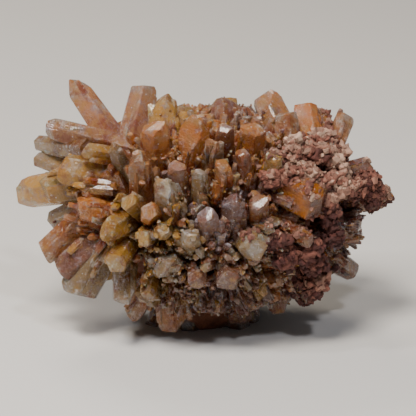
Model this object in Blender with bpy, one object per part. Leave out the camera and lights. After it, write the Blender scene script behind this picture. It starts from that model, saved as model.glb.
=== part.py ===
"""A creedite cluster: stout amber crystals that grew outwards from one centre into a prickly ball.

The whole ball grew as one piece, so it is one solid. Sizes in this file are millimetres, and MM turns
them into Blender's metres when a mesh is made. +Z is up, X runs along the longest extent, and the near
side faces -Y. The ball rests on a small flat spot whose middle is the origin.
"""

import math
import random
from collections import namedtuple

import bmesh
import bpy
from mathutils import Matrix, Vector, noise

MM = 0.001

# The ball: half its extent along X, Y and Z from tip to tip, and the height of its centre
HALF_EXTENT = Vector((27.5, 20.0, 18.5))
CENTRE = Vector((0.0, 0.0, 18.5))

UP = Vector((0.0, 0.0, 1.0))

# The lumpy core that the crystals grow from, as a share of the ball, and how deep in it they start
CORE_SHARE = 0.60
CORE_ROUGHNESS = 0.12
BURIED_SHARE = 0.78
WALK_STEP = 0.5

# The near crystals are placed by where their tips and bases are seen from 18 degrees above the horizon
VIEW_RISE = math.radians(18.0)
SIGHT = Vector((0.0, math.cos(VIEW_RISE), -math.sin(VIEW_RISE)))
NEAR_DEPTH = 19.5

# A base lies a little nearer to the eye than half its tip's depth, so the crystal shows its side
BASE_DEPTH_SHARE = 0.5
BASE_NEARER = 3.0

# Crystal habit: a six-sided prism, widest at two thirds of its length and a little uneven
PRISM_SIDES = 6
TAPER_DEGREES = (1.0, 2.6)
THICKNESS_SHARE = (0.66, 0.95)
WIDEST_SHARE = 0.66
SIDE_TURN = 0.2
SIDE_JITTER = 0.18
SIDE_REACH_SHARE = (0.84, 1.08)

# The four faces of its end: how steep each is in degrees, and how far from the tip it starts, as a
# share of the width. A spear ends in a narrow wedge, a blunt crystal in one broad slanting face.
END_FACES = {
    "spear": (((48, 60), 0.05), ((62, 74), 0.26), ((54, 66), 0.08), ((62, 74), 0.26)),
    "blunt": (((12, 32), 0.05), ((56, 72), 0.40), ((50, 66), 0.34), ((56, 72), 0.40)),
}
END_JITTER = 0.35
END_START_SHARE = (0.6, 1.2)
CAP_LEAN = 0.2

# The block that a crystal is cut from, beside the crystal's own length and width
BLOCK_LENGTH_SHARE = 1.04
BLOCK_WIDTH_SHARE = 3.0

# Crystals where the table below has none: how many directions are tried, how far a tip keeps from its
# neighbours, the widths, how far out the tips reach, less at the rim of the near view, which directions
# are filled, from -1 straight towards the eye to 1 straight away, and how much the crystals turn upwards
Fill = namedtuple("Fill", "name directions spacing width reach rim_reach facing lift")
FILLS = [
    Fill("stout", 190, 5.2, (3.6, 5.6), (0.86, 1.0), (0.74, 0.84), (-0.38, 1.0), 0.0),
    Fill("small", 420, 4.2, (2.3, 3.3), (0.74, 0.86), (0.68, 0.76), (-1.0, -0.30), 0.5),
]
LIFTED_ABOVE = 12.0
RIM_COSINE = 0.42
FILL_LEAN = 0.22
FILL_FORMS = ("spear", "blunt", "blunt")

# Other crystals keep clear of a table crystal's tip, and of this place on the way to its base
CLEAR_SHARE = 0.5

# The flat spot that it rests on
FOOT_RADIUS = Vector((6.0, 4.2, 4.6))
FOOT_HEIGHT = 2.4
FOOT_ROUGHNESS = 0.12
FOOT_RINGS = ((7.6, 6, 4.0), (4.6, 4, 4.0))
FOOT_DEPTH_SHARE = 0.40
FOOT_TURN = 0.3
FOOT_SINK = 1.2
FOOT_WIDE_SIDE = Vector((1.0, 0.2, 0.0))

# The knobbly rusty crust on the right-hand side
CRUST_RADIUS = (1.15, 1.9)
CRUST_SHAPE = (1.2, 1.0, 0.85)
CRUST_ROUGHNESS = 0.45
CRUST_DEPTH_SHARE = 0.93

# The knobbles of a lump: how many fit in its radius, and how far apart two lumps lie in the noise
KNOBBLES = 1.9
NOISE_SHIFT = Vector((3.7, 1.3, 5.1))

# What is cut away under the flat spot
GROUND_WIDTH = 120.0
GROUND_DEPTH = 20.0

# A vertex this close to a cutting plane lies on it
ON_PLANE = 1e-5

Crystal = namedtuple("Crystal", "name tip base width depth form")

# Tip and base as (across, up), width, depth of the tip beside the centre (None: as deep as the ball's
# near surface there), and the form of the end
NEAR_CRYSTALS = [
    Crystal("finger_upper_left", (-19.5, 36.3), (-14.9, 29.7), 3.6, -2.0, "spear"),
    Crystal("stout_left_top", (-23.3, 29.3), (-15.8, 27.2), 4.2, -4.0, "spear"),
    Crystal("grey_left_back", (-24.9, 27.2), (-21.5, 26.6), 2.6, 3.0, "blunt"),
    Crystal("white_left_back", (-25.1, 24.6), (-20.0, 23.0), 2.8, 2.0, "blunt"),
    Crystal("blade_left", (-21.2, 23.0), (-12.8, 21.5), 4.4, -9.0, "blunt"),
    Crystal("left_mid", (-23.6, 19.7), (-17.7, 21.5), 4.6, -5.0, "blunt"),
    Crystal("leftmost", (-27.8, 19.2), (-22.2, 20.0), 5.0, 0.0, "spear"),
    Crystal("stub_left_low", (-18.3, 17.4), (-13.4, 16.4), 3.8, -10.0, "blunt"),
    Crystal("red_lower_left", (-23.6, 10.4), (-17.3, 15.8), 4.6, -3.0, "blunt"),
    Crystal("pale_lower_left", (-18.5, 4.4), (-14.9, 11.0), 6.2, -4.0, "blunt"),
    Crystal("low_left_behind", (-21.2, 7.7), (-16.2, 11.7), 4.5, -5.0, "blunt"),
    Crystal("grey_low", (-11.6, 3.5), (-11.6, 9.2), 3.8, -10.0, "blunt"),
    Crystal("amber_low_point", (-10.8, 0.9), (-8.0, 5.3), 3.0, -2.0, "blunt"),
    Crystal("orange_bottom", (-4.7, -0.8), (-4.7, 5.0), 4.0, -1.5, "blunt"),
    Crystal("green_small", (-8.2, 4.0), (-7.2, 6.8), 2.8, -9.0, "blunt"),
    Crystal("yellow_block", (-10.6, 18.2), (-8.9, 16.9), 3.2, None, "blunt"),
    Crystal("amber_smooth", (-7.9, 16.6), (-6.9, 16.2), 3.4, None, "blunt"),
    Crystal("gold_druse", (-14.2, 13.4), (-11.0, 15.5), 3.2, None, "spear"),
    Crystal("centre_spear", (-5.5, 21.3), (-5.0, 15.0), 3.6, None, "spear"),
    Crystal("tan_face", (-9.0, 25.0), (-8.6, 19.2), 4.2, None, "spear"),
    Crystal("dark_block_mid", (-3.7, 23.3), (-3.2, 18.0), 3.0, None, "blunt"),
    Crystal("orange_spear", (-0.8, 30.5), (-2.0, 23.3), 4.6, None, "spear"),
    Crystal("red_brown_mid", (-6.8, 29.2), (-6.4, 23.6), 4.4, None, "blunt"),
    Crystal("brown_cone", (1.6, 26.9), (1.4, 21.5), 3.2, None, "spear"),
    Crystal("top_tan", (-8.6, 35.3), (-9.9, 29.3), 4.2, -3.0, "blunt"),
    Crystal("top_tan_right", (-5.9, 33.9), (-5.6, 28.2), 4.0, -5.0, "spear"),
    Crystal("olive_top", (-3.0, 32.3), (-3.0, 27.5), 3.6, -2.0, "blunt"),
    Crystal("amber_top_tip", (-0.6, 32.4), (-0.9, 28.2), 2.6, 1.0, "spear"),
    Crystal("brown_top_mid", (2.9, 32.7), (2.9, 27.5), 4.4, 0.0, "blunt"),
    Crystal("brown_top_right", (5.0, 32.3), (4.4, 27.5), 3.4, 2.0, "blunt"),
    Crystal("lilac_top_small", (6.8, 32.6), (6.8, 28.2), 2.6, 3.0, "spear"),
    Crystal("right_top_cone", (8.9, 34.2), (12.3, 27.5), 4.3, -1.0, "spear"),
    Crystal("pale_orange_front", (12.2, 31.4), (12.6, 26.7), 3.8, -5.0, "blunt"),
    Crystal("amber_crusted", (15.3, 32.4), (15.8, 26.7), 4.2, -2.0, "blunt"),
    Crystal("crust_knob_top", (17.9, 31.5), (17.6, 26.7), 2.8, 0.0, "blunt"),
    Crystal("finger_right_top", (21.5, 31.2), (19.2, 26.3), 3.1, 0.0, "blunt"),
    Crystal("glass_block_right", (24.8, 23.3), (21.3, 22.2), 3.8, -1.0, "blunt"),
    Crystal("far_right_crusted", (27.6, 18.5), (22.0, 19.7), 5.0, -1.0, "spear"),
    Crystal("amber_window", (17.0, 17.5), (9.8, 21.6), 5.6, None, "blunt"),
    Crystal("crust_knob", (19.0, 26.0), (16.0, 23.7), 3.6, None, "blunt"),
    Crystal("rod_right_low", (15.5, 12.5), (10.4, 15.5), 2.6, None, "blunt"),
    Crystal("grey_broken", (7.6, 11.6), (6.3, 13.2), 5.0, None, "blunt"),
    Crystal("lilac_tall", (4.5, 18.9), (4.4, 13.4), 3.6, None, "spear"),
    Crystal("lilac_face", (0.6, 16.4), (0.8, 11.8), 3.5, None, "blunt"),
    Crystal("olive_slab", (8.0, 18.4), (8.0, 14.6), 3.2, None, "blunt"),
    Crystal("pale_chip", (9.9, 14.2), (6.6, 15.6), 2.2, None, "spear"),
    Crystal("amber_prism", (2.9, 23.5), (3.0, 17.4), 2.8, None, "blunt"),
    Crystal("pale_upright", (-0.4, 22.5), (-0.2, 16.5), 2.4, None, "blunt"),
    Crystal("dark_glass", (5.7, 25.3), (5.8, 19.2), 2.6, None, "blunt"),
    Crystal("white_spark", (-1.8, 13.4), (-1.6, 11.0), 3.4, None, "spear"),
    Crystal("grey_spark", (-5.3, 8.0), (-4.7, 10.2), 4.2, None, "spear"),
    Crystal("grey_brown_low", (-12.8, 9.2), (-11.3, 11.7), 3.8, None, "blunt"),
    Crystal("tan_low", (-0.8, 6.5), (-0.5, 9.2), 3.2, None, "blunt"),
    Crystal("dark_lilac_low", (0.6, 1.7), (0.3, 6.2), 4.2, -6.0, "blunt"),
    Crystal("crusted_rod_low", (16.5, 3.9), (11.6, 11.0), 4.8, -5.0, "blunt"),
    Crystal("crust_right_low", (17.9, 8.0), (14.6, 12.5), 4.0, -4.0, "blunt"),
    Crystal("back_right_low", (22.4, 7.7), (18.3, 10.2), 4.0, 5.0, "blunt"),
    Crystal("purple_back_right", (23.3, 13.7), (19.0, 14.7), 4.6, 5.0, "blunt"),
    Crystal("dark_low_right", (11.7, 2.1), (9.3, 7.2), 3.4, 0.0, "blunt"),
    Crystal("dark_low_centre", (5.6, 0.3), (4.8, 5.7), 3.8, 1.0, "blunt"),
    Crystal("grey_left_behind", (-22.7, 15.2), (-19.2, 16.7), 3.4, 0.0, "blunt"),
    Crystal("orange_mid_right", (7.4, 29.0), (6.6, 23.8), 3.9, None, "blunt"),
    Crystal("olive_block_right", (10.3, 24.9), (10.0, 20.0), 2.8, None, "blunt"),
    Crystal("red_brown_right", (3.2, 28.9), (3.2, 23.8), 2.8, None, "blunt"),
    Crystal("olive_tan_left", (-17.3, 25.7), (-14.0, 25.0), 2.8, None, "spear"),
    Crystal("silvery_left", (-12.9, 26.3), (-11.9, 23.0), 2.6, None, "spear"),
    Crystal("golden_small", (-6.0, 13.6), (-5.2, 14.4), 2.8, None, "spear"),
    Crystal("dark_glassy_left", (-8.6, 12.9), (-7.4, 13.7), 3.0, None, "blunt"),
    Crystal("dark_red_low", (3.8, 6.5), (3.3, 9.2), 4.2, None, "blunt"),
    Crystal("dark_low_mid", (7.8, 5.0), (6.3, 8.2), 4.0, -6.0, "blunt"),
]

# Middles of the rusty knobs, as (across, up)
CRUST_KNOBS = [
    (13.4, 26.4), (15.2, 25.7), (17.0, 27.0), (18.0, 26.9), (16.4, 24.7), (20.0, 25.2),
    (19.1, 24.2), (12.8, 25.0), (19.7, 22.1), (20.4, 19.8), (22.1, 20.0), (24.0, 20.7),
    (25.1, 19.2), (18.3, 17.9), (18.5, 16.4), (15.2, 22.0), (17.1, 21.0), (11.4, 22.0),
    (13.4, 22.3), (9.9, 21.4), (18.6, 13.1), (16.2, 11.6), (16.2, 9.3),
    (14.7, 10.5), (10.9, 12.6), (9.3, 12.6), (12.2, 10.2), (17.1, 6.3), (16.2, 5.7),
]


def clear_scene():
    for found in list(bpy.data.objects):
        bpy.data.objects.remove(found, do_unlink=True)


def mineral_material():
    """Cloudy amber creedite, with the faint gloss of a natural face."""
    material = bpy.data.materials.new("amber_creedite")
    material.use_nodes = True
    shader = material.node_tree.nodes["Principled BSDF"]
    shader.inputs["Base Color"].default_value = (0.52, 0.19, 0.05, 1.0)
    shader.inputs["Roughness"].default_value = 0.32
    shader.inputs["IOR"].default_value = 1.46
    return material


def seen_place(across, up, depth):
    """The point that is seen this far across and up, this far behind the ball's centre."""
    middle_depth = -CENTRE.z * math.sin(VIEW_RISE)
    away = middle_depth + depth
    return Vector((
        across,
        up * math.sin(VIEW_RISE) + away * math.cos(VIEW_RISE),
        up * math.cos(VIEW_RISE) - away * math.sin(VIEW_RISE),
    ))


def near_surface_depth(across, up):
    """How deep the ball's near surface is there, beside its centre, which is a negative number."""
    middle_up = CENTRE.z * math.cos(VIEW_RISE)
    half_up = math.hypot(
        HALF_EXTENT.z * math.cos(VIEW_RISE), HALF_EXTENT.y * math.sin(VIEW_RISE)
    )
    inside = 1.0 - (across / HALF_EXTENT.x) ** 2 - ((up - middle_up) / half_up) ** 2
    return -NEAR_DEPTH * math.sqrt(max(0.0, inside))


def share_of(point, half_extent):
    """How far a point is from the centre, where 1 is the surface of the ellipsoid."""
    offset = point - CENTRE
    return Vector(offset[i] / half_extent[i] for i in range(3)).length


def root_of(tip, inward):
    """Where a crystal starts: well inside the core, or at its closest to it."""
    core = HALF_EXTENT * CORE_SHARE
    step = inward * WALK_STEP
    place = tip.copy()
    nearest = share_of(place, core)
    while nearest > BURIED_SHARE:
        onward = share_of(place + step, core)
        if onward >= nearest:
            break
        place += step
        nearest = onward
    return place


def cut(mesh, point, normal):
    """Take away what lies past the plane, and close the cut with one flat face."""
    found = bmesh.ops.bisect_plane(
        mesh,
        geom=mesh.verts[:] + mesh.edges[:] + mesh.faces[:],
        dist=ON_PLANE,
        plane_co=point,
        plane_no=normal,
        clear_outer=True,
    )
    rim = [item for item in found["geom_cut"] if isinstance(item, bmesh.types.BMEdge)]
    if rim:
        bmesh.ops.contextual_create(mesh, geom=rim)


def crystal_planes(width, length, form, rng):
    """A point on each face and the way that face looks, where Z runs from root to tip."""
    planes = []
    thickness = rng.uniform(*THICKNESS_SHARE)
    taper = math.radians(rng.uniform(*TAPER_DEGREES))
    turn = rng.uniform(-SIDE_TURN, SIDE_TURN)
    for side in range(PRISM_SIDES):
        angle = turn + math.tau * side / PRISM_SIDES + rng.uniform(-SIDE_JITTER, SIDE_JITTER)
        out = Vector((math.cos(angle), math.sin(angle), 0.0))
        reach = 0.5 * width * (thickness + (1.0 - thickness) * out.x ** 2)
        reach *= rng.uniform(*SIDE_REACH_SHARE)
        point = out * reach + UP * length * WIDEST_SHARE
        planes.append((point, out * math.cos(taper) + UP * math.sin(taper)))
    turn = rng.uniform(0.0, math.tau)
    for quarter, (slopes, start) in enumerate(END_FACES[form]):
        angle = turn + math.tau * quarter / 4 + rng.uniform(-END_JITTER, END_JITTER)
        slope = math.radians(rng.uniform(*slopes))
        out = Vector((math.cos(angle), math.sin(angle), 0.0))
        point = UP * length + out * width * start * rng.uniform(*END_START_SHARE)
        planes.append((point, UP * math.cos(slope) + out * math.sin(slope)))
    lean = Vector((rng.uniform(-CAP_LEAN, CAP_LEAN), rng.uniform(-CAP_LEAN, CAP_LEAN), 1.0))
    planes.append((UP * length, lean.normalized()))
    return planes


def crystal_mesh(tip, root, width, form, seed, wide_side):
    """One prism with a wedge or a slanting face at its end, cut from a block by its faces."""
    axis = (tip - root).normalized()
    wide = (wide_side - axis * wide_side.dot(axis)).normalized()
    turned = Matrix((wide, axis.cross(wide), axis)).transposed()
    length = (tip - root).length
    mesh = bmesh.new()
    bmesh.ops.create_cube(mesh, size=1.0)
    for vert in mesh.verts:
        vert.co.x *= width * BLOCK_WIDTH_SHARE
        vert.co.y *= width * BLOCK_WIDTH_SHARE
        vert.co.z = (vert.co.z + 0.5) * length * BLOCK_LENGTH_SHARE
    for point, normal in crystal_planes(width, length, form, random.Random(seed)):
        cut(mesh, point, normal)
    for vert in mesh.verts:
        vert.co = root + turned @ vert.co
    bmesh.ops.recalc_face_normals(mesh, faces=mesh.faces[:])
    return mesh


def lump_mesh(centre, half_extent, roughness, seed, level):
    """A rounded lump with a knobbly surface."""
    mesh = bmesh.new()
    bmesh.ops.create_icosphere(mesh, subdivisions=level, radius=1.0)
    for vert in mesh.verts:
        swell = 1.0 + roughness * noise.noise(vert.co * KNOBBLES + NOISE_SHIFT * seed)
        vert.co = centre + Vector(vert.co[i] * half_extent[i] * swell for i in range(3))
    return mesh


def add_object(name, mesh, collection):
    """A Blender object of a mesh that was drawn in millimetres."""
    bmesh.ops.scale(mesh, vec=(MM, MM, MM), verts=mesh.verts[:])
    data = bpy.data.meshes.new(name)
    mesh.to_mesh(data)
    mesh.free()
    made = bpy.data.objects.new(name, data)
    collection.objects.link(made)
    return made


def near_crystal(row):
    """The places that other crystals keep clear of, and the crystal itself."""
    depth = near_surface_depth(*row.tip) if row.depth is None else row.depth
    tip = seen_place(*row.tip, depth)
    base = seen_place(*row.base, depth * BASE_DEPTH_SHARE - BASE_NEARER)
    root = root_of(tip, (base - tip).normalized())
    wide_side = SIGHT.cross(tip - root)
    mesh = crystal_mesh(tip, root, row.width, row.form, row.name, wide_side)
    return [tip, tip.lerp(base, CLEAR_SHARE)], mesh


def even_directions(count):
    """Directions spread evenly over a sphere."""
    golden_turn = math.pi * (3.0 - math.sqrt(5.0))
    for index in range(count):
        height = 1.0 - 2.0 * (index + 0.5) / count
        level = math.sqrt(1.0 - height * height)
        angle = golden_turn * index
        yield index, Vector((level * math.cos(angle), level * math.sin(angle), height))


def fill_crystals(fill, taken):
    """Crystals for the places that no crystal in the table reaches, kept clear of the outline."""
    for index, out in even_directions(fill.directions):
        rng = random.Random(fill.name + str(index))
        facing = out.dot(SIGHT)
        reach = rng.uniform(*(fill.rim_reach if abs(facing) < RIM_COSINE else fill.reach))
        tip = CENTRE + Vector(out[i] * HALF_EXTENT[i] for i in range(3)) * reach
        wanted = fill.facing[0] <= facing <= fill.facing[1]
        if not wanted or any((tip - other).length < fill.spacing for other in taken):
            continue
        taken.append(tip)
        lean = Vector(rng.uniform(-1, 1) for _ in range(3)) * FILL_LEAN
        if tip.z > LIFTED_ABOVE:
            lean.z += fill.lift
        inward = -((tip - CENTRE).normalized() + lean).normalized()
        root = root_of(tip, inward)
        width = rng.uniform(*fill.width)
        form = rng.choice(FILL_FORMS)
        wide_side = Vector(rng.uniform(-1, 1) for _ in range(3))
        name = fill.name + "_" + str(index)
        yield name, crystal_mesh(tip, root, width, form, name, wide_side)


def foot_crystals():
    """Crystals that point down and are flattened by what the ball rests on."""
    for ring, (radius, count, width) in enumerate(FOOT_RINGS):
        for index in range(count):
            angle = math.tau * (index + 0.5 * ring) / count + FOOT_TURN
            depth = radius * FOOT_DEPTH_SHARE * math.sin(angle)
            tip = Vector((radius * math.cos(angle), depth, -FOOT_SINK))
            root = root_of(tip, (CENTRE - tip).normalized())
            name = "foot_" + str(ring) + "_" + str(index)
            yield name, crystal_mesh(tip, root, width, "blunt", name, FOOT_WIDE_SIDE)


def build_cluster():
    grown = bpy.data.collections.new("grown_together")
    bpy.context.scene.collection.children.link(grown)
    taken = []
    for row in NEAR_CRYSTALS:
        clear, mesh = near_crystal(row)
        taken += clear
        add_object("crystal_" + row.name, mesh, grown)
    for fill in FILLS:
        for name, mesh in fill_crystals(fill, taken):
            add_object("crystal_" + name, mesh, grown)
    for name, mesh in foot_crystals():
        add_object("crystal_" + name, mesh, grown)
    add_object("foot", lump_mesh(UP * FOOT_HEIGHT, FOOT_RADIUS, FOOT_ROUGHNESS, 3, 2), grown)
    for index, (across, up) in enumerate(CRUST_KNOBS):
        radius = random.Random("knob_" + str(index)).uniform(*CRUST_RADIUS)
        depth = near_surface_depth(across, up) * CRUST_DEPTH_SHARE + radius
        half = Vector(CRUST_SHAPE) * radius
        knob = lump_mesh(seen_place(across, up, depth), half, CRUST_ROUGHNESS, index, 1)
        add_object("crust_knob_" + str(index), knob, grown)
    for helper in grown.objects:
        helper.hide_render = True
        helper.display_type = "WIRE"

    core_mesh = lump_mesh(CENTRE, HALF_EXTENT * CORE_SHARE, CORE_ROUGHNESS, 1, 3)
    cluster = add_object("core", core_mesh, bpy.context.scene.collection)
    union = cluster.modifiers.new("grow together", "BOOLEAN")
    union.operation = "UNION"
    union.operand_type = "COLLECTION"
    union.collection = grown
    union.solver = "EXACT"
    return cluster


def ground_block():
    """Everything under the surface that the ball rests on."""
    mesh = bmesh.new()
    bmesh.ops.create_cube(mesh, size=1.0)
    for vert in mesh.verts:
        vert.co.x *= GROUND_WIDTH
        vert.co.y *= GROUND_WIDTH
        vert.co.z = (vert.co.z - 0.5) * GROUND_DEPTH
    block = add_object("ground", mesh, bpy.context.scene.collection)
    block.hide_render = True
    block.display_type = "WIRE"
    return block


def islands_of(mesh):
    """The vertices of each connected piece."""
    unseen = set(mesh.verts)
    while unseen:
        first = unseen.pop()
        island, waiting = [first], [first]
        while waiting:
            for edge in waiting.pop().link_edges:
                for vert in edge.verts:
                    if vert in unseen:
                        unseen.remove(vert)
                        island.append(vert)
                        waiting.append(vert)
        yield island


def fill_pockets(cluster):
    """Apply the Booleans and close the sealed pockets that they leave between crystals."""
    graph = bpy.context.evaluated_depsgraph_get()
    data = bpy.data.meshes.new_from_object(cluster.evaluated_get(graph))
    mesh = bmesh.new()
    mesh.from_mesh(data)
    islands = sorted(islands_of(mesh), key=len)
    pockets = [vert for island in islands[:-1] for vert in island]
    bmesh.ops.delete(mesh, geom=pockets, context="VERTS")
    mesh.to_mesh(data)
    mesh.free()
    cluster.modifiers.clear()
    cluster.data = data


def main():
    clear_scene()
    cluster = build_cluster()
    flatten = cluster.modifiers.new("flat spot", "BOOLEAN")
    flatten.operation = "DIFFERENCE"
    flatten.object = ground_block()
    flatten.solver = "EXACT"
    fill_pockets(cluster)
    for helper in [found for found in bpy.data.objects if found is not cluster]:
        bpy.data.objects.remove(helper, do_unlink=True)
    cluster.name = "creedite_cluster"
    cluster.data.name = "creedite_cluster"
    cluster.data.materials.append(mineral_material())


main()
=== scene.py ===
# %% [markdown]
# # A creedite cluster
# Creedite is a soft, glassy mineral that often grows as a prickly ball: stout prisms that start from one
# middle and push outwards in every direction. Iron tints them honey, amber and red-brown, some stay
# almost colourless or faintly lilac, and a knobbly rust crust covers one side.
# This lesson dresses the plain faceted solid of such a ball. Each crystal is made again, finer, from the
# same named sizes, then gets a cloudy see-through material.

# %% The frame
import itertools
import math
import random
from collections import namedtuple

import bpy
import numpy as np
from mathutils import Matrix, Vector
from mathutils.bvhtree import BVHTree


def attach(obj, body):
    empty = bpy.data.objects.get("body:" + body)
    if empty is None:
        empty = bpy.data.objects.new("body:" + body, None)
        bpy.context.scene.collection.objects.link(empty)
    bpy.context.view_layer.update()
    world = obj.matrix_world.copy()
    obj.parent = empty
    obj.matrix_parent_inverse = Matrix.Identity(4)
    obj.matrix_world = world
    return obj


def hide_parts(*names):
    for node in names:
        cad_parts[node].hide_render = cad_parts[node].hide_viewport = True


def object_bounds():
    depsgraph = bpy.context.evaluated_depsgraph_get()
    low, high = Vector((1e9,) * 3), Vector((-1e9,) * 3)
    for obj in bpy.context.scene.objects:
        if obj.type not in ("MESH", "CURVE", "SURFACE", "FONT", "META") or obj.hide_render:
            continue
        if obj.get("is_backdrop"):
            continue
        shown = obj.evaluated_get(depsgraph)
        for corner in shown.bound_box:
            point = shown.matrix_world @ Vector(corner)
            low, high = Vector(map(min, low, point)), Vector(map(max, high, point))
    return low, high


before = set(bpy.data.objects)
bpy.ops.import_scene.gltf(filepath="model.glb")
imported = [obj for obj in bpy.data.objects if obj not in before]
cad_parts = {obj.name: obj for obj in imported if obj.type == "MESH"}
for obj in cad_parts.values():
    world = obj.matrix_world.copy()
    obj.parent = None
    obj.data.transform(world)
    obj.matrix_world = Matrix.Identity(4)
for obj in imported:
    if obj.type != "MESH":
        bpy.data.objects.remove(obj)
cad_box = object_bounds()
CLUSTER = "creedite_cluster"
MM = 0.001
print("the solid's box in mm:", [[round(v / MM, 1) for v in corner] for corner in cad_box])

# %% [markdown]
# ## Camera, floor and light
# The ball is seen from a little above, through a long lens, as small stones usually are: a long lens
# keeps near and far crystals at nearly the same scale. One picture is 62.4 mm wide at the ball's middle.

# %% Camera
VIEW_RISE = math.radians(18.0)
SIGHT = Vector((0.0, math.cos(VIEW_RISE), -math.sin(VIEW_RISE)))
CENTRE = Vector((0.0, 0.0, 18.5))
PICTURE_WIDTH = 62.4
CAMERA_DISTANCE = 380.0
SENSOR_WIDTH = 36.0
AIM = (0.75, 17.25)


def seen_place(across, up, depth):
    """The point that is seen this far across and up, this far behind the ball's centre, in mm."""
    away = depth - CENTRE.z * math.sin(VIEW_RISE)
    return Vector((
        across,
        up * math.sin(VIEW_RISE) + away * math.cos(VIEW_RISE),
        up * math.cos(VIEW_RISE) - away * math.sin(VIEW_RISE),
    ))


camera_data = bpy.data.cameras.new("camera")
camera_data.sensor_width = SENSOR_WIDTH
camera_data.lens = SENSOR_WIDTH * CAMERA_DISTANCE / PICTURE_WIDTH
camera_data.clip_start = 0.01
camera = bpy.data.objects.new("camera", camera_data)
bpy.context.scene.collection.objects.link(camera)
camera.location = (seen_place(*AIM, 0.0) - SIGHT * CAMERA_DISTANCE) * MM
camera.rotation_euler = SIGHT.to_track_quat("-Z", "Y").to_euler()
bpy.context.scene.camera = camera
print("lens in mm:", round(camera_data.lens, 1))

# %% [markdown]
# Colours are written as the sRGB hex values that a colour picker shows. Blender's shaders work in linear
# light, so one function turns one into the other. A second one adds a shader node: its settings are
# plain attributes, and an input is either a value or the output of another node.

# %% Two helpers
def colour(hex_value):
    """Linear RGBA of an sRGB hex string such as E2A35B."""
    parts = [int(hex_value[i:i + 2], 16) / 255.0 for i in (0, 2, 4)]
    linear = [p / 12.92 if p <= 0.04045 else ((p + 0.055) / 1.055) ** 2.4 for p in parts]
    return (*linear, 1.0)


def add(tree, kind, inputs=None, **settings):
    """A node of that kind, with its settings, and its inputs set or linked."""
    node = tree.nodes.new("ShaderNode" + kind)
    for name, value in settings.items():
        setattr(node, name, value)
    for name, value in (inputs or {}).items():
        if isinstance(value, bpy.types.NodeSocket):
            tree.links.new(value, node.inputs[name])
        else:
            node.inputs[name].default_value = value
    return node


def new_material(name):
    """A material with an empty node tree and its output."""
    material = bpy.data.materials.new(name)
    material.use_nodes = True
    tree = material.node_tree
    tree.nodes.clear()
    return material, tree, add(tree, "OutputMaterial")


print("a middle grey of 808080 in linear light:", round(colour("808080")[0], 3))

# %% [markdown]
# The floor is a sheet of pale matt card, large enough to fill the picture. A softbox at the upper left
# lights the ball, a wide dim one opposite keeps the shadows open, and one behind shines through the
# crystals' edges. Two small dim lamps add the glints that make faces look like glass.

# %% Floor and light
FLOOR_HALF = 1.6
floor_mesh = bpy.data.meshes.new("floor")
corners = [(x * FLOOR_HALF, y * FLOOR_HALF, 0.0) for x, y in ((-1, -1), (1, -1), (1, 1), (-1, 1))]
floor_mesh.from_pydata(corners, [], [(0, 1, 2, 3)])
floor = bpy.data.objects.new("floor", floor_mesh)
bpy.context.scene.collection.objects.link(floor)
card, card_tree, card_output = new_material("matt_card")
card_shader = add(card_tree, "BsdfPrincipled", {"Base Color": colour("D9D6D0"), "Roughness": 0.7})
card_tree.links.new(card_shader.outputs[0], card_output.inputs["Surface"])
floor_mesh.materials.append(card)
floor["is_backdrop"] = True

Light = namedtuple("Light", "name turn rise distance size watts tint")
LIGHTS = [
    Light("key_softbox", -112.0, 60.0, 420.0, 110.0, 2.15, "FFF8F0"),
    Light("fill_softbox", -35.0, 34.0, 520.0, 380.0, 0.10, "EAF0FF"),
    Light("back_softbox", 115.0, 46.0, 450.0, 140.0, 0.75, "FFF4E6"),
    Light("left_spot", -158.0, 38.0, 420.0, 30.0, 0.5, "F4F6FF"),
    Light("front_spot", -70.0, 50.0, 420.0, 30.0, 0.5, "F4F6FF"),
]
for light in LIGHTS:
    data = bpy.data.lights.new(light.name, "AREA")
    data.size = light.size * MM
    data.energy = light.watts
    data.color = colour(light.tint)[:3]
    lamp = bpy.data.objects.new(light.name, data)
    turn, rise = math.radians(light.turn), math.radians(light.rise)
    away = Vector((math.cos(turn) * math.cos(rise), math.sin(turn) * math.cos(rise), math.sin(rise)))
    lamp.location = (CENTRE + away * light.distance) * MM
    lamp.rotation_euler = (-away).to_track_quat("-Z", "Y").to_euler()
    bpy.context.scene.collection.objects.link(lamp)

world = bpy.data.worlds.new("studio")
world.use_nodes = True
background = world.node_tree.nodes["Background"].inputs
background["Color"].default_value = colour("DADCE0")
background["Strength"].default_value = 0.11
bpy.context.scene.world = world
bpy.context.scene.view_settings.look = "AgX - Base Contrast"
print("lights:", [light.name for light in LIGHTS])

# %% [markdown]
# ## Where the crystals stand
# The near crystals are given one row each: where the tip and the base are seen, how thick the
# crystal is, how deep its tip lies beside the centre, and what it looks like. They could be scattered by
# chance, but then the ball would lose its own face.

# %% The near crystals
HALF_EXTENT = Vector((27.5, 20.0, 18.5))
CORE_SHARE = 0.60
BURIED_SHARE = 0.78
WALK_STEP = 0.5
NEAR_DEPTH = 19.5
BASE_DEPTH_SHARE = 0.5
BASE_NEARER = 3.0

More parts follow.
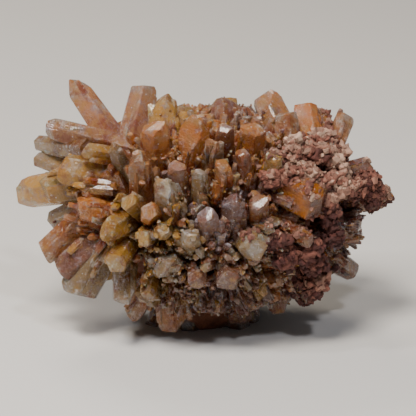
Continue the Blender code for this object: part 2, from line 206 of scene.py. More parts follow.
Crystal = namedtuple("Crystal", "name tip base width depth form finish")
NEAR_CRYSTALS = [
    Crystal("finger_upper_left", (-19.5, 36.3), (-14.9, 29.7), 3.6, -2.0, "spear", "peach"),
    Crystal("stout_left_top", (-23.3, 29.3), (-15.8, 27.2), 4.2, -4.0, "spear", "peach"),
    Crystal("grey_left_back", (-24.9, 27.2), (-21.5, 26.6), 2.6, 3.0, "blunt", "pale"),
    Crystal("white_left_back", (-25.1, 24.6), (-20.0, 23.0), 2.8, 2.0, "blunt", "pale"),
    Crystal("blade_left", (-21.2, 23.0), (-12.8, 21.5), 4.4, -9.0, "blunt", "honey"),
    Crystal("left_mid", (-23.6, 19.7), (-17.7, 21.5), 4.6, -5.0, "blunt", "honey"),
    Crystal("leftmost", (-27.8, 19.2), (-22.2, 20.0), 5.0, 0.0, "spear", "honey"),
    Crystal("stub_left_low", (-18.3, 17.4), (-13.4, 16.4), 3.8, -10.0, "blunt", "amber"),
    Crystal("red_lower_left", (-23.6, 10.4), (-17.3, 15.8), 4.6, -3.0, "blunt", "amber"),
    Crystal("pale_lower_left", (-18.5, 4.4), (-14.9, 11.0), 6.2, -4.0, "blunt", "pale"),
    Crystal("low_left_behind", (-21.2, 7.7), (-16.2, 11.7), 4.5, -5.0, "blunt", "brown"),
    Crystal("grey_low", (-11.6, 3.5), (-11.6, 9.2), 3.8, -10.0, "blunt", "pale"),
    Crystal("amber_low_point", (-10.8, 0.9), (-8.0, 5.3), 3.0, -2.0, "blunt", "amber"),
    Crystal("orange_bottom", (-4.7, -0.8), (-4.7, 5.0), 4.0, -1.5, "blunt", "amber"),
    Crystal("green_small", (-8.2, 4.0), (-7.2, 6.8), 2.8, -9.0, "blunt", "gold"),
    Crystal("yellow_block", (-10.6, 18.2), (-8.9, 16.9), 3.2, None, "blunt", "gold"),
    Crystal("amber_smooth", (-7.9, 16.6), (-6.9, 16.2), 3.4, None, "blunt", "amber"),
    Crystal("gold_druse", (-14.2, 13.4), (-11.0, 15.5), 3.2, None, "spear", "gold"),
    Crystal("centre_spear", (-5.5, 21.3), (-5.0, 15.0), 3.6, None, "spear", "pale"),
    Crystal("tan_face", (-9.0, 25.0), (-8.6, 19.2), 4.2, None, "spear", "peach"),
    Crystal("dark_block_mid", (-3.7, 23.3), (-3.2, 18.0), 3.0, None, "blunt", "brown"),
    Crystal("orange_spear", (-0.8, 30.5), (-2.0, 23.3), 4.6, None, "spear", "amber"),
    Crystal("red_brown_mid", (-6.8, 29.2), (-6.4, 23.6), 4.4, None, "blunt", "amber"),
    Crystal("brown_cone", (1.6, 26.9), (1.4, 21.5), 3.2, None, "spear", "peach"),
    Crystal("top_tan", (-8.6, 35.3), (-9.9, 29.3), 4.2, -3.0, "blunt", "peach"),
    Crystal("top_tan_right", (-5.9, 33.9), (-5.6, 28.2), 4.0, -5.0, "spear", "honey"),
    Crystal("olive_top", (-3.0, 32.3), (-3.0, 27.5), 3.6, -2.0, "blunt", "gold"),
    Crystal("amber_top_tip", (-0.6, 32.4), (-0.9, 28.2), 2.6, 1.0, "spear", "amber"),
    Crystal("brown_top_mid", (2.9, 32.7), (2.9, 27.5), 4.4, 0.0, "blunt", "brown"),
    Crystal("brown_top_right", (5.0, 32.3), (4.4, 27.5), 3.4, 2.0, "blunt", "brown"),
    Crystal("lilac_top_small", (6.8, 32.6), (6.8, 28.2), 2.6, 3.0, "spear", "lilac"),
    Crystal("right_top_cone", (8.9, 34.2), (12.3, 27.5), 4.3, -1.0, "spear", "peach"),
    Crystal("pale_orange_front", (12.2, 31.4), (12.6, 26.7), 3.8, -5.0, "blunt", "peach"),
    Crystal("amber_crusted", (15.3, 32.4), (15.8, 26.7), 4.2, -2.0, "blunt", "amber"),
    Crystal("crust_knob_top", (17.9, 31.5), (17.6, 26.7), 2.8, 0.0, "blunt", "rust"),
    Crystal("finger_right_top", (21.5, 31.2), (19.2, 26.3), 3.1, 0.0, "blunt", "peach"),
    Crystal("glass_block_right", (24.8, 23.3), (21.3, 22.2), 3.8, -1.0, "blunt", "lilac"),
    Crystal("far_right_crusted", (27.6, 18.5), (22.0, 19.7), 5.0, -1.0, "spear", "rust"),
    Crystal("amber_window", (17.0, 17.5), (9.8, 21.6), 5.6, None, "blunt", "window"),
    Crystal("crust_knob", (19.0, 26.0), (16.0, 23.7), 3.6, None, "blunt", "rust"),
    Crystal("rod_right_low", (15.5, 12.5), (10.4, 15.5), 2.6, None, "blunt", "brown"),
    Crystal("grey_broken", (7.6, 11.6), (6.3, 13.2), 5.0, None, "blunt", "pale"),
    Crystal("lilac_tall", (4.5, 18.9), (4.4, 13.4), 3.6, None, "spear", "lilac"),
    Crystal("lilac_face", (0.6, 16.4), (0.8, 11.8), 3.5, None, "blunt", "lilac"),
    Crystal("olive_slab", (8.0, 18.4), (8.0, 14.6), 3.2, None, "blunt", "brown"),
    Crystal("pale_chip", (9.9, 14.2), (6.6, 15.6), 2.2, None, "spear", "pale"),
    Crystal("amber_prism", (2.9, 23.5), (3.0, 17.4), 2.8, None, "blunt", "amber"),
    Crystal("pale_upright", (-0.4, 22.5), (-0.2, 16.5), 2.4, None, "blunt", "pale"),
    Crystal("dark_glass", (5.7, 25.3), (5.8, 19.2), 2.6, None, "blunt", "brown"),
    Crystal("white_spark", (-1.8, 13.4), (-1.6, 11.0), 3.4, None, "spear", "pale"),
    Crystal("grey_spark", (-5.3, 8.0), (-4.7, 10.2), 4.2, None, "spear", "pale"),
    Crystal("grey_brown_low", (-12.8, 9.2), (-11.3, 11.7), 3.8, None, "blunt", "gold"),
    Crystal("tan_low", (-0.8, 6.5), (-0.5, 9.2), 3.2, None, "blunt", "brown"),
    Crystal("dark_lilac_low", (0.6, 1.7), (0.3, 6.2), 4.2, -6.0, "blunt", "lilac"),
    Crystal("crusted_rod_low", (16.5, 3.9), (11.6, 11.0), 4.8, -5.0, "blunt", "rust"),
    Crystal("crust_right_low", (17.9, 8.0), (14.6, 12.5), 4.0, -4.0, "blunt", "rust"),
    Crystal("back_right_low", (22.4, 7.7), (18.3, 10.2), 4.0, 5.0, "blunt", "brown"),
    Crystal("purple_back_right", (23.3, 13.7), (19.0, 14.7), 4.6, 5.0, "blunt", "lilac"),
    Crystal("dark_low_right", (11.7, 2.1), (9.3, 7.2), 3.4, 0.0, "blunt", "brown"),
    Crystal("dark_low_centre", (5.6, 0.3), (4.8, 5.7), 3.8, 1.0, "blunt", "brown"),
    Crystal("grey_left_behind", (-22.7, 15.2), (-19.2, 16.7), 3.4, 0.0, "blunt", "pale"),
    Crystal("orange_mid_right", (7.4, 29.0), (6.6, 23.8), 3.9, None, "blunt", "amber"),
    Crystal("olive_block_right", (10.3, 24.9), (10.0, 20.0), 2.8, None, "blunt", "honey"),
    Crystal("red_brown_right", (3.2, 28.9), (3.2, 23.8), 2.8, None, "blunt", "brown"),
    Crystal("olive_tan_left", (-17.3, 25.7), (-14.0, 25.0), 2.8, None, "spear", "honey"),
    Crystal("silvery_left", (-12.9, 26.3), (-11.9, 23.0), 2.6, None, "spear", "pale"),
    Crystal("golden_small", (-6.0, 13.6), (-5.2, 14.4), 2.8, None, "spear", "gold"),
    Crystal("dark_glassy_left", (-8.6, 12.9), (-7.4, 13.7), 3.0, None, "blunt", "gold"),
    Crystal("dark_red_low", (3.8, 6.5), (3.3, 9.2), 4.2, None, "blunt", "brown"),
    Crystal("dark_low_mid", (7.8, 5.0), (6.3, 8.2), 4.0, -6.0, "blunt", "brown"),
]
print("near crystals:", len(NEAR_CRYSTALS))

# %% [markdown]
# Every crystal starts inside the core, so its root is found by walking inwards from its tip. A crystal
# without a depth of its own ends on the ball's near surface.

# %% Places on the ball
def near_surface_depth(across, up):
    """How deep the ball's near surface is there, beside its centre, which is a negative number."""
    middle_up = CENTRE.z * math.cos(VIEW_RISE)
    half_up = math.hypot(HALF_EXTENT.z * math.cos(VIEW_RISE), HALF_EXTENT.y * math.sin(VIEW_RISE))
    inside = 1.0 - (across / HALF_EXTENT.x) ** 2 - ((up - middle_up) / half_up) ** 2
    return -NEAR_DEPTH * math.sqrt(max(0.0, inside))


def share_of(point, half_extent):
    """How far a point is from the centre, where 1 is the surface of the ellipsoid."""
    offset = point - CENTRE
    return Vector(offset[i] / half_extent[i] for i in range(3)).length


def root_of(tip, inward):
    """Where a crystal starts: well inside the core, or at its closest to it."""
    core = HALF_EXTENT * CORE_SHARE
    step = inward * WALK_STEP
    place = tip.copy()
    nearest = share_of(place, core)
    while nearest > BURIED_SHARE:
        onward = share_of(place + step, core)
        if onward >= nearest:
            break
        place += step
        nearest = onward
    return place


def even_directions(count):
    """Directions spread evenly over a sphere."""
    golden_turn = math.pi * (3.0 - math.sqrt(5.0))
    for index in range(count):
        height = 1.0 - 2.0 * (index + 0.5) / count
        level = math.sqrt(1.0 - height * height)
        angle = golden_turn * index
        yield index, Vector((level * math.cos(angle), level * math.sin(angle), height))


print("the near surface in the middle, in mm:", round(near_surface_depth(0.0, 17.6), 1))

# %% [markdown]
# ## One crystal
# A creedite prism is a few flat faces that meet at sharp edges, with a sloping or blunt end. Its shape is
# fully given by planes, so the faces are worked out first, in the crystal's own directions: X is its wide
# side, Y its thin side and Z runs from root to tip.

# %% The faces of a crystal
PRISM_SIDES = 6
TAPER_DEGREES = (1.0, 2.6)
THICKNESS_SHARE = (0.66, 0.95)
WIDEST_SHARE = 0.66
SIDE_TURN = 0.2
SIDE_JITTER = 0.18
SIDE_REACH_SHARE = (0.84, 1.08)
# The four end faces: slope in degrees, and distance from the tip as a share of the width
END_FACES = {
    "spear": (((48, 60), 0.05), ((62, 74), 0.26), ((54, 66), 0.08), ((62, 74), 0.26)),
    "blunt": (((12, 32), 0.05), ((56, 72), 0.40), ((50, 66), 0.34), ((56, 72), 0.40)),
}
END_JITTER = 0.35
END_START_SHARE = (0.6, 1.2)
CAP_LEAN = 0.2


def crystal_planes(width, length, form, rng):
    """Points and outward normals of the crystal's faces, its root first, in its own directions."""
    thickness = rng.uniform(*THICKNESS_SHARE)
    taper = math.radians(rng.uniform(*TAPER_DEGREES))
    up = np.array((0.0, 0.0, 1.0))
    points, normals = [up * 0.0], [-up]
    turn = rng.uniform(-SIDE_TURN, SIDE_TURN)
    for side in range(PRISM_SIDES):
        angle = turn + math.tau * side / PRISM_SIDES + rng.uniform(-SIDE_JITTER, SIDE_JITTER)
        out = np.array((math.cos(angle), math.sin(angle), 0.0))
        reach = 0.5 * width * (thickness + (1.0 - thickness) * out[0] ** 2)
        reach *= rng.uniform(*SIDE_REACH_SHARE)
        points.append(out * reach + up * length * WIDEST_SHARE)
        normals.append(out * math.cos(taper) + up * math.sin(taper))
    turn = rng.uniform(0.0, math.tau)
    for quarter, (slopes, start) in enumerate(END_FACES[form]):
        angle = turn + math.tau * quarter / 4 + rng.uniform(-END_JITTER, END_JITTER)
        slope = math.radians(rng.uniform(*slopes))
        out = np.array((math.cos(angle), math.sin(angle), 0.0))
        points.append(up * length + out * width * start * rng.uniform(*END_START_SHARE))
        normals.append(up * math.cos(slope) + out * math.sin(slope))
    lean = np.array((rng.uniform(-CAP_LEAN, CAP_LEAN), rng.uniform(-CAP_LEAN, CAP_LEAN), 1.0))
    points.append(up * length)
    normals.append(lean / np.linalg.norm(lean))
    return np.array(points), np.array(normals)


print("faces of a spear:", len(crystal_planes(4.0, 12.0, "spear", random.Random(1))[0]))

# %% [markdown]
# Lumps and patches need noise: a smooth value that changes slowly from place to place. Here it is worked
# out for thousands of points at once, from a repeatable number at each corner of a lattice.

# %% Smooth noise on many points at once
def hashed(cells, seed):
    """A repeatable number from -1 to 1 for each lattice cell."""
    x, y, z = (cells[..., i].astype(np.uint64) for i in range(3))
    mixed = x * np.uint64(374761393) + y * np.uint64(668265263) + z * np.uint64(2246822519)
    mixed = (mixed + np.uint64(seed * 97 + 13)) & np.uint64(0xFFFFFFFF)
    mixed = ((mixed ^ (mixed >> np.uint64(13))) * np.uint64(1274126177)) & np.uint64(0xFFFFFFFF)
    mixed = ((mixed ^ (mixed >> np.uint64(15))) * np.uint64(2246822519)) & np.uint64(0xFFFFFFFF)
    return (mixed ^ (mixed >> np.uint64(16))).astype(np.float64) / 2147483648.0 - 1.0


def smooth_noise(points, seed=0):
    """Lattice noise from -1 to 1, with one lattice cell to each unit of length."""
    cells = np.floor(points).astype(np.int64)
    part = points - cells
    part = part * part * (3.0 - 2.0 * part)
    total = np.zeros(len(points))
    for corner in itertools.product((0, 1), repeat=3):
        weight = np.prod(np.where(corner, part, 1.0 - part), axis=1)
        total += weight * hashed(cells + np.array(corner) + 100000, seed)
    return total


print("noise sample:", smooth_noise(np.array([[0.3, 1.7, 2.2]])).round(3))

# %% [markdown]
# The planes say where the faces lie, and each three of them meet in one point. The points that no plane
# cuts away are the crystal's corners. Each face is then a fan of triangles around its own middle. The
# middle also knows how far it is from the nearest edge, so that a material can frost the edges alone.

# %% From planes to a closed body
Shape = namedtuple("Shape", "points faces reach inner grain")
TOO_PARALLEL, JUST_OUTSIDE, ON_FACE = 1e-3, 1e-6, 1e-3


def corners_of(points, normals):
    """The corners of the body inside the planes, and which faces each corner lies on."""
    offsets = (points * normals).sum(axis=1)
    triples = np.array(list(itertools.combinations(range(len(points)), 3)))
    meeting = normals[triples]
    crossing = np.abs(np.linalg.det(meeting)) > TOO_PARALLEL
    found = np.linalg.solve(meeting[crossing], offsets[triples[crossing]][..., None])[..., 0]
    found = found[(found @ normals.T <= offsets + JUST_OUTSIDE).all(axis=1)]
    found = np.unique(found.round(4), axis=0)
    return found, np.abs(found @ normals.T - offsets) < ON_FACE


def body_inside(points, normals):
    """The closed mesh of the body inside the planes, with its height as its reach."""
    corners, on_face = corners_of(points, normals)
    places, inner, triangles = list(corners), [0.0] * len(corners), []
    for face, normal in enumerate(normals):
        ring = np.flatnonzero(on_face[:, face])
        if len(ring) < 3:
            continue
        middle = corners[ring].mean(axis=0)
        spokes = corners[ring] - middle
        across = spokes[0] / np.linalg.norm(spokes[0])
        up = np.cross(normal, across)
        ring = ring[np.argsort(np.arctan2(spokes @ up, spokes @ across))]
        onward = np.roll(ring, -1)
        edges = corners[onward] - corners[ring]
        away = np.linalg.norm(np.cross(edges, middle - corners[ring]), axis=1)
        away /= np.maximum(np.linalg.norm(edges, axis=1), 1e-6)
        triangles += [(a, b, len(places)) for a, b in zip(ring, onward)]
        places.append(middle)
        inner.append(away.min())
    places = np.array(places)
    return Shape(places, np.array(triangles), places[:, 2], np.array(inner), places)


block = body_inside(*crystal_planes(4.0, 12.0, "blunt", random.Random(1)))
print("a blunt crystal without chips has", len(block.faces), "triangles")

# %% [markdown]
# A perfect prism looks machined. Real ones are chipped at their ends and worn along their edges, so a
# few planes more are laid against the corners and one along each edge.

# %% Chips and worn edges
CHIP_RISE = (0.15, 1.1)
CHIP_DEPTH = (0.4, 1.2)
WEAR_DEPTH = (0.5, 1.5)
CHIP_SHARE = 0.1
NEARLY_FLAT = 1.97


def chipped(points, normals, depth, count, rng):
    """The same planes with some more across the corners near the tip."""
    for _ in range(count):
        angle = rng.uniform(0.0, math.tau)
        out = np.array((math.cos(angle), math.sin(angle), rng.uniform(*CHIP_RISE)))
        out /= np.linalg.norm(out)
        corners, _ = corners_of(points, normals)
        outermost = corners[np.argmax(corners @ out)]
        chip = outermost - out * depth * rng.uniform(*CHIP_DEPTH)
        points, normals = np.vstack((points, chip)), np.vstack((normals, out))
    return points, normals


def worn(points, normals, depth, rng):
    """The same planes with one more along each edge but those of the root."""
    corners, on_face = corners_of(points, normals)
    shared = on_face.T.astype(int) @ on_face.astype(int)
    shared[0] = 0
    new_points, new_normals = [], []
    for a, b in zip(*np.nonzero(np.triu(shared >= 2, 1))):
        along = corners[on_face[:, a] & on_face[:, b]]
        out = normals[a] + normals[b]
        if np.linalg.norm(out) > NEARLY_FLAT:
            continue
        out /= np.linalg.norm(out)
        new_points.append(along.mean(axis=0) - out * depth * rng.uniform(*WEAR_DEPTH))
        new_normals.append(out)
    return np.concatenate((points, new_points)), np.concatenate((normals, new_normals))


def crystal_body(width, length, form, rng, chips, wear):
    """One crystal in its own directions."""
    planes = crystal_planes(width, length, form, rng)
    planes = chipped(*planes, width * CHIP_SHARE, chips, rng)
    if wear:
        planes = worn(*planes, wear, rng)
    shape = body_inside(*planes)
    return shape._replace(reach=shape.reach / length)


sample = crystal_body(4.0, 12.0, "spear", random.Random(1), 3, 0.08)
print("a 4 mm crystal has", len(sample.faces), "triangles")

# %% [markdown]
# ## Growing the whole ball
# Crystals are gathered by finish, because each finish becomes one mesh with one material. Small crystals
# are needed by the thousand, so they are copies of some sixty ready ones, turned and stretched.

# %% Placing and gathering
# Painted shade: crystals are toned darker the lower they stand, fully at this height in mm, fading over
# this rise.
SHADE_PAINTED_BELOW, SHADE_PAINTED_RISE = 4.0, 18.0
PATTERN_SHIFT = 400
gathered = {}


def clamped(value):
    """The value, but not below 0 or above 1."""
    return min(1.0, max(0.0, value))


def any_way(rng):
    """A vector that points anywhere, up to 1 long in each direction."""
    return Vector([rng.uniform(-1, 1) for _ in range(3)])


def placed(shape, root, axis, wide_side, scale, rng):
    """A ready shape moved to its place, with its wide side turned that way."""
    axis = axis.normalized()
    wide = (wide_side - axis * wide_side.dot(axis)).normalized()
    basis = np.array((wide, axis.cross(wide), axis))
    local = shape.points * scale
    points = local @ basis + np.array(root)
    points[:, 2] = np.maximum(points[:, 2], 0.0)
    shift = np.array([rng.uniform(0, PATTERN_SHIFT) for _ in range(3)])
    return shape._replace(points=points, inner=shape.inner * min(scale), grain=local + shift)


def toned(place, rng):
    """The tone of a crystal there from 0 to 1: by chance, and painted darker underneath as shade."""
    return 0.5 * rng.random() + 0.5 * clamped((place[2] - SHADE_PAINTED_BELOW) / SHADE_PAINTED_RISE)


def gather(piece, shape, tone):
    """Keep a shape, and the tone of its crystal from 0 to 1, for the mesh of that piece."""
    gathered.setdefault(piece, []).append((shape, tone))


READY_COUNT = 60
READY_LENGTH = 2.4
ready = {"spear": [], "blunt": []}
for index in range(READY_COUNT):
    rng = random.Random(9000 + index)
    form = "spear" if index % 3 == 0 else "blunt"
    ready[form].append(crystal_body(1.0, READY_LENGTH, form, rng, index % 2, 0.0))
print("a small crystal has about", len(ready["blunt"][0].faces), "triangles")

# %% [markdown]
# The rest of the ball is lumps and crumbs: the stained core, and the nodules and crumbs of iron oxide. A
# lump is a sphere whose points are pushed in and out by noise at two scales. A crumb is angular, so it is
# cut by planes like a crystal.

# %% Lumps
SLOW_PER_BALL = 1.9
GRIT_FINER = 2.5
FINE_SHARE, GRIT_SHARE = 0.6, 0.4
CRUMB_FACES = 9
CRUMB_JITTER = 0.4
CRUMB_REACH = (0.6, 1.0)
CRUMB_KINDS, NODULE_KINDS = 24, 16
NODULE_RADIUS = (1.0, 0.9, 0.75)


def ball_grid(level):
    """Points and triangles of a unit sphere built from rings."""
    rows, columns = level, level * 2
    heights = np.linspace(-math.pi / 2, math.pi / 2, rows + 2)[1:-1]
    angles = np.linspace(0.0, math.tau, columns, endpoint=False)
    rings = [
        np.stack((np.cos(angles) * math.cos(h), np.sin(angles) * math.cos(h),
                  np.full(columns, math.sin(h))), -1)
        for h in heights
    ]
    grid = np.arange(rows * columns).reshape(rows, columns)
    turned = np.roll(grid, -1, axis=1)
    south, north = rows * columns, rows * columns + 1
    a, b, c, d = grid[:-1], turned[:-1], turned[1:], grid[1:]
    sides = [np.stack((a, b, c), -1).reshape(-1, 3), np.stack((a, c, d), -1).reshape(-1, 3)]
    bottom = np.stack((np.full(columns, south), turned[0], grid[0]), -1)
    top = np.stack((grid[-1], turned[-1], np.full(columns, north)), -1)
    poles = [np.array([[0, 0, -1.0]]), np.array([[0, 0, 1.0]])]
    return np.concatenate(rings + poles), np.concatenate(sides + [bottom, top])


def lump_shape(half_extent, level, seed, swell, knobs, knob_size):
    """A rounded lump in mm. swell is its slow unevenness, knobs the height of its fine one."""
    directions, faces = ball_grid(level)
    rng = random.Random(seed)
    shift = np.array([rng.uniform(0, PATTERN_SHIFT) for _ in range(3)])
    places = directions * np.array(half_extent)
    slow = smooth_noise(directions * SLOW_PER_BALL + shift, 5)
    fine = smooth_noise(places / knob_size + shift, 6)
    grit = smooth_noise(places / knob_size * GRIT_FINER + shift, 7)
    points = places * (1.0 + swell * slow)[:, None]
    points = points + directions * ((fine * FINE_SHARE + grit * GRIT_SHARE) * knobs)[:, None]
    return Shape(points, faces, 0.5 + 0.5 * fine, np.full(len(points), 1.0), places + shift)


def crumb_shape(seed):
    """An angular crumb: what is left between a few planes around one point."""
    rng = random.Random(seed)
    normals = []
    for _, out in even_directions(CRUMB_FACES):
        aside = Vector([rng.uniform(-CRUMB_JITTER, CRUMB_JITTER) for _ in range(3)])
        normals.append((out + aside).normalized())
    normals = np.array(normals)
    distances = np.array([rng.uniform(*CRUMB_REACH) for _ in normals])
    return body_inside(normals * distances[:, None], normals)


crumbs = [crumb_shape("crumb" + str(i)) for i in range(CRUMB_KINDS)]
nodules = [
    lump_shape(NODULE_RADIUS, 12, "nodule" + str(i), swell=0.7, knobs=0.5, knob_size=0.45)
    for i in range(NODULE_KINDS)
]
print("a crumb has", len(crumbs[0].faces), "triangles, a nodule", len(nodules[0].faces))

# %% [markdown]
# Crumbs of rust sit on whatever crystal grew on the right-hand side. They are dropped on its faces, more
# on large faces, and none where the crystal is buried. They go from maroon through terracotta to cream,
# in patches and by chance, and as painted light and shade: lighter the higher they sit and the more
# their face looks upwards, darker low down.

# %% Rust on a crystal
CRUMBS_PER_MM2 = 3.4
COAT_SIZE = (0.14, 0.45)
COAT_PATCH = 2.2
TONE_PATCH = 4.0
# Painted light and shade: grains are lighter the higher they sit and the more they face upwards.
LIGHT_PAINTED_FOOT, LIGHT_PAINTED_RISE = 9.0, 46.0
LIGHT_PAINTED_UPWARD, TONE_BY_PATCH, TONE_CHANCE = 0.3, 0.45, 0.25
GRAIN_STRETCH = (0.75, 1.2)
BARE_CORE_SHARE = 0.66
COAT_GAPS = (-1.1, 0.0)
SUNK_SHARE = 0.25


def grain(piece, place, size, ready_shapes, rng, upward):
    """A lump or a crumb of iron oxide, painted lighter the higher it is and the more upwards it faces."""
    axis = any_way(rng)
    scale = tuple(size * rng.uniform(*GRAIN_STRETCH) for _ in range(3))
    patch = smooth_noise(np.array([place]) / TONE_PATCH, 41)[0]
    # Height and facing upwards paint light and shade; the patch and the chance are the crust's own
    # mottling.
    tone = (place.z - LIGHT_PAINTED_FOOT) / LIGHT_PAINTED_RISE + LIGHT_PAINTED_UPWARD * upward + TONE_BY_PATCH * patch
    tone += rng.uniform(-TONE_CHANCE, TONE_CHANCE)
    shape = placed(rng.choice(ready_shapes), place, axis, axis.orthogonal(), scale, rng)
    gather(piece, shape, clamped(tone))


def encrust(shape, rng, upward):
    """Grains of iron oxide where a shape stands out of the core, on faces that look that far upwards."""
    corners = shape.points[shape.faces]
    normals = np.cross(corners[:, 1] - corners[:, 0], corners[:, 2] - corners[:, 0])
    areas = 0.5 * np.linalg.norm(normals, axis=1)
    count = int(areas.sum() * CRUMBS_PER_MM2)
    for face in rng.choices(range(len(areas)), weights=areas, k=count):
        weights = np.array([rng.random() + 0.01 for _ in range(3)])
        place = Vector(weights @ corners[face] / weights.sum())
        patch = smooth_noise(np.array([place]) / COAT_PATCH, 21)[0]
        if share_of(place, HALF_EXTENT) < BARE_CORE_SHARE or patch < rng.uniform(*COAT_GAPS):
            continue
        size = rng.uniform(*COAT_SIZE)
        out = Vector(normals[face] / (2.0 * areas[face]))
        if out.z < upward:
            continue
        grain("rust_coat", place + out * size * SUNK_SHARE, size, crumbs, rng, out.z)


print("crumbs on 1 cm2 of crusted crystal:", round(CRUMBS_PER_MM2 * 100))

# %% [markdown]
# Stout crystals seldom stand alone. Thinner ones grow along them, parallel and a little shorter, so
# their ends are stepped and their sides ribbed. Each of those is a stretched copy of a ready one.

# %% A small crystal
SMALL_FORMS = ("spear", "blunt", "blunt")
SMALL_THICKNESS = (0.7, 1.1)


def small_crystal(piece, tip, axis, width, length, tone, rng, wide_side=None):
    """A small crystal that ends at tip."""
    form = rng.choice(SMALL_FORMS)
    shape = rng.choice(ready[form])
    side = wide_side or any_way(rng)
    scale = (width, width * rng.uniform(*SMALL_THICKNESS), length / READY_LENGTH)
    shape = placed(shape, tip - axis.normalized() * length, axis, side, scale, rng)
    gather(piece, shape, clamped(tone))


print("ready copies:", {form: len(shapes) for form, shapes in ready.items()})

# %% [markdown]
# A companion is a step on the crystal's end or a rib along its side. Both are placed in shares of the
# stout crystal's width. Crystals on the crusted side are coated all over, and a few others only on top.

# %% Growing a stout crystal
ONE_TO_ONE = (1.0, 1.0, 1.0)
CHIPS, WEAR = 1, 0.06
Companion = namedtuple("Companion", "off lower width lean")
STEP = Companion((0.14, 0.38), (0.02, 0.14), (0.2, 0.44), 0.06)
RIB = Companion((0.36, 0.52), (0.25, 1.9), (0.12, 0.36), 0.10)
STEP_SLOPE = 0.8
STEP_LENGTH = (2.2, 3.6)
RIB_LENGTH_SHARE, RIB_LENGTH = 0.7, 2.0
THIN_SHARE = 0.85
TONE_SPREAD = 0.2
UNDER_RUST = ("peach", "brown", "amber")
DUSTED = ("amber_window", "grey_broken", "olive_block_right", "rod_right_low", "pale_chip")
DUST_UPWARD = 0.55
EVERY_WAY = -1.0


def grow(finish, tip, root, width, form, seed, wide_side, steps, ribs):
    """A stout crystal with steps on its end and ribs along its sides."""
    rng = random.Random(seed)
    axis = (tip - root).normalized()
    length = (tip - root).length
    rusty = finish == "rust"
    if rusty:
        finish = rng.choice(UNDER_RUST)
    body = crystal_body(width, length, form, rng, CHIPS, WEAR)
    body = placed(body, root, axis, wide_side, ONE_TO_ONE, rng)
    tone = toned(tip, rng)
    gather(finish + "_crystals", body, tone)
    if rusty:
        encrust(body, rng, EVERY_WAY)
    if seed in DUSTED:
        encrust(body, rng, DUST_UPWARD)
    wide = (wide_side - axis * wide_side.dot(axis)).normalized()
    thin = axis.cross(wide)
    for index in range(steps + ribs):
        kind = STEP if index < steps else RIB
        angle = rng.uniform(0.0, math.tau)
        aside = wide * math.cos(angle) + thin * math.sin(angle) * THIN_SHARE
        off = rng.uniform(*kind.off)
        lower = rng.uniform(*kind.lower)
        if kind is STEP:
            lower = off * STEP_SLOPE - lower
        lean = any_way(rng) * kind.lean
        its_width = width * rng.uniform(*kind.width)
        its_tip = tip + (aside * off - axis * lower) * width
        its_length = min(length * RIB_LENGTH_SHARE, width * RIB_LENGTH)
        if kind is STEP:
            its_length = its_width * rng.uniform(*STEP_LENGTH)
        its_tone = tone + rng.uniform(-TONE_SPREAD, TONE_SPREAD)
        small_crystal(finish + "_crystals", its_tip, axis + lean, its_width, its_length, its_tone,
                      rng, wide_side)


print("steps and ribs are", STEP.width, "and", RIB.width, "of the stout crystal's width")

# %% [markdown]
# Now the table's crystals grow, one by one. Each leaves two marks, at its tip and half way to its base, so
# that the crystals that come later keep clear of it. Those on the left have fewer companions and look
# smoother.

# %% The table's crystals
SMOOTH_LEFT = -12.0
CLEAR_SHARE = 0.5
Neighbour = namedtuple("Neighbour", "tip axis finish")
taken = []
for row in NEAR_CRYSTALS:
    depth = near_surface_depth(*row.tip) if row.depth is None else row.depth
    tip = seen_place(*row.tip, depth)
    base = seen_place(*row.base, depth * BASE_DEPTH_SHARE - BASE_NEARER)
    root = root_of(tip, (base - tip).normalized())
    axis = (tip - root).normalized()
    taken.append(Neighbour(tip, axis, row.finish))
    taken.append(Neighbour(tip.lerp(base, CLEAR_SHARE), axis, row.finish))
    steps = 1 if tip.x < SMOOTH_LEFT else 2
    grow(row.finish, tip, root, row.width, row.form, row.name, SIGHT.cross(tip - root), steps,
         steps * 2)
print("shapes so far:", sum(len(shapes) for shapes in gathered.values()))

# %% [markdown]
# The sides that no row reaches are filled by rule: even directions over the ball, skipping those too
# close to a crystal that is there already. What a crystal looks like depends on where it stands.

# %% The other crystals
Fill = namedtuple("Fill", "name directions spacing width reach rim_reach facing lift")
FILLS = [
    Fill("stout", 190, 5.2, (3.6, 5.6), (0.86, 1.0), (0.74, 0.84), (-0.38, 1.0), 0.0),
    Fill("small", 420, 4.2, (2.3, 3.3), (0.74, 0.86), (0.68, 0.76), (-1.0, -0.30), 0.5),
]
LIFTED_ABOVE = 12.0
RIM_COSINE = 0.42
FILL_LEAN = 0.22
FILL_FORMS = ("spear", "blunt", "blunt")
FINISHES_LEFT = ("honey", "honey", "amber", "amber", "peach", "pale", "brown")
FINISHES_MIDDLE = ("amber", "pale", "brown", "lilac", "honey", "brown", "peach")
FINISHES_GOLDEN = ("gold", "gold", "pale", "brown", "honey")
GOLDEN_PART = ((-15.0, 0.5), (5.0, 20.0))
LEFT_PART, RIGHT_PART = -7.0, 9.0
FINISHES_RIGHT = ("peach", "brown", "rust", "amber", "brown", "lilac", "peach")


def finish_at(place, rng):
    """The look of a crystal, by the side of the ball that it stands on."""
    (left, right), (low, high) = GOLDEN_PART
    if left < place.x < right and low < place.z < high:
        return rng.choice(FINISHES_GOLDEN)
    if place.x < LEFT_PART:
        return rng.choice(FINISHES_LEFT)
    return rng.choice(FINISHES_MIDDLE if place.x < RIGHT_PART else FINISHES_RIGHT)


